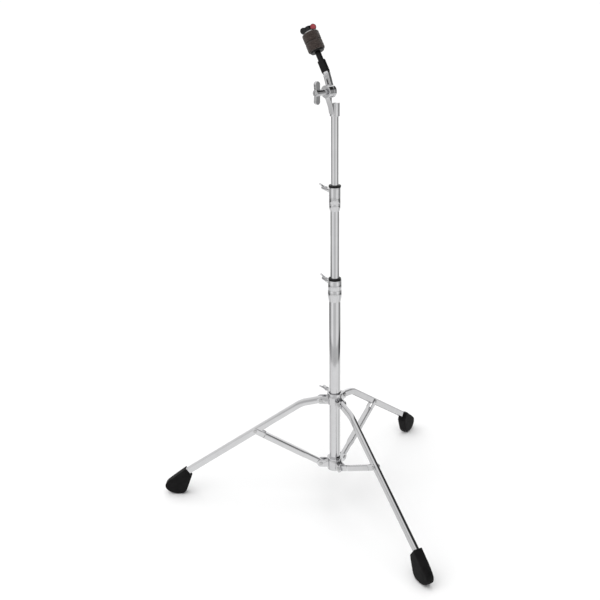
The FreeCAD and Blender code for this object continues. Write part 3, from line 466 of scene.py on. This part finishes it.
def make_strut(side, azimuth):
    """A strut folded from sheet: narrow in the bracket, wide and open where it straddles the leg."""
    out, sideways = leg_directions(azimuth)
    start = out * strut_foot.x + Vector((0, 0, strut_foot.y))
    end = out * crossing.x + Vector((0, 0, crossing.y))
    way = (end - start).normalized()
    up = sideways.cross(way) * -1
    if up.z < 0:
        up = -up
    length = (end - start).length
    notch = length - notch_length

    def width(along):
        t = min(max((along - widening_from) / widening_over, 0), 1)
        return strut_narrow + (strut_wide - strut_narrow) * t * t * (3 - 2 * t)

    widening = [widening_from + widening_over * k / widening_steps for k in range(widening_steps + 1)]
    path = [(start + way * d, up) for d in [0.0] + widening + [notch]]
    bm = bmesh.new()
    sweep(bm, bar_stations(path, sideways, end_steps, strut_end_reach),
          lambda along: bar_section(width(along), strut_half_height, strut_fold, along, strut_end_reach))
    ends = (notch - plate_overlap, notch + plate_straight, length)
    path = [(start + way * d, up) for d in ends]
    stations = bar_stations(path, sideways, end_steps, strut_end_reach, both_ends=True)[end_steps:]
    total = length - ends[0]
    for hand in (1, -1):
        middle = hand * (strut_wide - sheet / 2)
        sweep(bm, stations, lambda along: plate(
            middle, bar_height(strut_half_height, along, total, strut_end_reach), sheet))
    return finish_bar(bm, f"strut_{side}")


boot_voxel = 0.0010
boot_rounds = 30
toe_squeeze = 0.22
toe_length = 0.030
sole_lift = 0.0022
lift_height = 0.030
rib_depth = 0.0005
rib_pitch = 0.0045
rib_height = 0.004


def make_boot(side, azimuth):
    """A rubber boot: the CAD foot's side outline as a solid block, rounded all over, narrower at
    its toe, lifted along the edges of its sole and cut with grip ribs."""
    out, sideways = leg_directions(azimuth)
    spots = [v.co for v in nodes[f"foot_{side}"].data.vertices]
    flat = [Vector((spot.dot(out), spot.z)) for spot in spots]
    half = max(spot.dot(sideways) for spot in spots)
    reach = max(spot.x for spot in flat)
    outline = [flat[i] for i in convex_hull_2d(flat)]
    bm = bmesh.new()
    near, far = [[bm.verts.new(out * r + sideways * half * hand + Vector((0, 0, z)))
                  for r, z in outline] for hand in (1, -1)]
    for i in range(len(outline)):
        bm.faces.new((near[i - 1], near[i], far[i], far[i - 1]))
    bm.faces.new(near)
    bm.faces.new(far[::-1])
    bmesh.ops.recalc_face_normals(bm, faces=bm.faces)
    mesh = bpy.data.meshes.new(f"foot_{side}_boot")
    bm.to_mesh(mesh)
    bm.free()
    piece = piece_from(f"foot_{side}_boot", mesh)
    for vertex in flowing(piece, boot_voxel, boot_rounds).vertices:
        place = vertex.co
        along, across, up = place.dot(out), place.dot(sideways), place.z
        squeeze = 1 - toe_squeeze * min(max((along - reach + toe_length) / toe_length, 0), 1) ** 2
        crown = (across / half) ** 2
        lift = sole_lift * crown * min(max(1 - up / lift_height, 0), 1)
        wave = max(math.cos(2 * math.pi * along / rib_pitch), 0)
        rib = rib_depth * wave if up < rib_height else 0.0
        vertex.co = out * along + sideways * across * squeeze + Vector((0, 0, up + lift + rib))
    return dress(piece, f"foot_{side}")


def finish_bar(bm, node):
    """The piece for a leg or a strut that has been swept."""
    bmesh.ops.recalc_face_normals(bm, faces=bm.faces)
    mesh = bpy.data.meshes.new(f"{node}_folded")
    bm.to_mesh(mesh)
    bm.free()
    smooth(mesh, 35)
    return dress(piece_from(f"{node}_folded", mesh), node)


# ---- the stand ------------------------------------------------------------------------------

fine_edge = 0.0002
tube_edge = 0.0003
pressed_edge = 0.0005

for node, cad in nodes.items():
    cad.data.materials.clear()
    cad.data.materials.append(materials[slot_of[node]])

for side, azimuth in (("left", 180), ("back", 60), ("front", -60)):
    make_leg(side, math.radians(azimuth))
    make_strut(side, math.radians(azimuth))
    crisp(f"joint_rivet_{side}", fine_edge)
    make_boot(side, math.radians(azimuth))
for node in ("base_tube", "middle_tube", "upper_tube"):
    crisp(node, tube_edge)
for node in ("leg_bracket", "leg_hub", "lower_clamp", "upper_clamp"):
    crisp(node, pressed_edge)
for node in ("hub_wing_screw", "lower_wing_screw", "upper_wing_screw", "tilter_wing_nut"):
    cast(node, 0.0003, 10)
for node in ("tilter_base", "tilter_arm"):
    cast(node, 0.0004, 8)
for node in ("bracket_rivets", "hub_rivets", "lower_bush", "upper_bush", "tilter_bolt", "tilter_washer",
             "cymbal_post", "cymbal_sleeve", "seat_washer", "top_washer", "lower_clamp_pin",
             "upper_clamp_pin", "bracket_pin", "tilter_pin"):
    crisp(node, fine_edge)
cast("cymbal_wing_nut", 0.0003, 8)
crisp("nut_inlays", tube_edge)

post = joints["post_nut_turn"]
post_turn = Vector(post["axis"]).to_track_quat("Z", "Y").to_matrix().to_4x4()
post_place = Matrix.Translation(post["pos_m"]) @ post_turn
cover_inside = 0.0078
cover_outline = [(cover_inside, 0.0280), (0.0083, 0.0278), (0.0085, 0.0030), (cover_inside, 0.0026)]
cover = lathe("boss_cover", rounded(cover_outline, fine_edge), post_place)
dress(cover, slot="black_nylon", body=body_of["tilter_arm"])
for node in ("lower_felt", "upper_felt"):
    felt = cast(node, 0.0006, 4)


# ---- floor, light and camera ----------------------------------------------------------------


def make_floor(name, size):
    mesh = bpy.data.meshes.new(name)
    mesh.from_pydata([(-size, -size, 0), (size, -size, 0), (size, size, 0), (-size, size, 0)], [],
                     [(0, 1, 2, 3)])
    floor = piece_from(name, mesh)
    paper, kit, shader = material(f"{name}_paper", Roughness=0.9)
    kit.join(kit.ramp(kit.noise(3, 4), [(0.3, 0.90), (0.7, 0.92)]), shader.inputs["Base Color"])
    shader.inputs["Specular IOR Level"].default_value = 0.1
    mesh.materials.append(paper)
    floor.visible_glossy = False


def make_world():
    """A painted room for the chrome to reflect: bright ahead and behind, greyer to the sides, with
    a dark band low down, pale ground under it and a ceiling that is dim on one side. The camera
    itself sees plain white. Seen by direction only, so it stays put when the camera moves."""
    world = bpy.data.worlds.new("studio")
    world.use_nodes = True
    kit = Nodes(world.node_tree)
    world.node_tree.nodes.clear()
    place = kit.add("ShaderNodeTexCoord")
    split = kit.add("ShaderNodeSeparateXYZ")
    kit.join(place.outputs["Generated"], split.inputs["Vector"])
    x, y, z = (split.outputs[n] for n in "XYZ")
    flat = kit.math("SQRT", kit.math("ADD", kit.math("MULTIPLY", x, x), kit.math("MULTIPLY", y, y)))
    ahead = kit.range(kit.math("DIVIDE", y, kit.math("MAXIMUM", flat, 0.001)), -1, 1, 0, 1)
    wall = kit.ramp(ahead, [(0.0, 0.56), (0.05, 0.66), (0.13, 0.92), (0.34, 0.70), (0.55, 0.26),
                            (0.78, 0.30), (0.92, 0.80), (1.0, 0.95)])
    rim = kit.ramp(ahead, [(0.0, 0.50), (0.30, 0.55), (0.5, 0.06), (0.80, 0.04), (0.95, 0.7)])
    low = kit.ramp(kit.range(z, -0.36, -0.28, 0, 1), [(0.0, 0.0), (0.12, 1.0), (0.75, 1.0), (1.0, 0.0)])
    high = kit.ramp(z, [(0.26, 0.0), (0.42, 1.0)])
    ceiling = kit.ramp(kit.range(x, -1, 1, 0, 1), [(0.0, 0.72), (0.69, 0.80), (0.735, 0.03),
                                                   (1.0, 0.02)])
    ground = kit.ramp(ahead, [(0.0, 0.82), (0.22, 0.78), (0.34, 0.86), (0.5, 0.56), (0.68, 0.66),
                              (1.0, 0.95)])
    below = kit.ramp(kit.range(z, -0.368, -0.357, 0, 1), [(0.0, 1.0), (1.0, 0.0)])
    factor, first_colour, second_colour, result_colour = 0, 6, 7, 2
    mixed = wall
    for amount, colour in ((low, rim), (below, ground), (high, ceiling)):
        mix = kit.add("ShaderNodeMix", data_type="RGBA")
        kit.join(amount, mix.inputs[factor])
        kit.join(mixed, mix.inputs[first_colour])
        kit.join(colour, mix.inputs[second_colour])
        mixed = mix.outputs[result_colour]
    room = kit.add("ShaderNodeBackground", Strength=1.11)
    kit.join(mixed, room.inputs["Color"])
    white = kit.add("ShaderNodeBackground")
    white.inputs["Color"].default_value = (1, 1, 1, 1)
    path = kit.add("ShaderNodeLightPath")
    both = kit.add("ShaderNodeMixShader")
    kit.join(path.outputs["Is Camera Ray"], both.inputs["Fac"])
    kit.join(room.outputs["Background"], both.inputs[1])
    kit.join(white.outputs["Background"], both.inputs[2])
    kit.join(both.outputs["Shader"], kit.add("ShaderNodeOutputWorld").inputs["Surface"])
    bpy.context.scene.world = world


def make_sun(name, strength, comes_from, spread):
    """Soft even light from one side of the sky, too wide to cast a hard shadow."""
    lamp = bpy.data.lights.new(name, "SUN")
    lamp.energy = strength
    lamp.angle = math.radians(spread)
    light = bpy.data.objects.new(name, lamp)
    bpy.context.scene.collection.objects.link(light)
    light.rotation_euler = Vector(comes_from).to_track_quat("Z", "Y").to_euler()
    light.visible_glossy = False


make_floor("floor", 40.0)
make_world()
make_sun("overhead", 1.6, (-0.15, -0.2, 1.0), 100)

lens = bpy.data.cameras.new("camera")
lens.sensor_width = 36
lens.lens = 54.46
lens.shift_x = -0.058
lens.shift_y = 0.001
camera = bpy.data.objects.new("camera", lens)
camera.location = (0.045, -1.8675, 1.174)
camera.rotation_euler = (math.radians(69.88), 0, math.radians(1.38))
bpy.context.scene.collection.objects.link(camera)
bpy.context.scene.camera = camera
bpy.context.scene.view_settings.view_transform = "Standard"
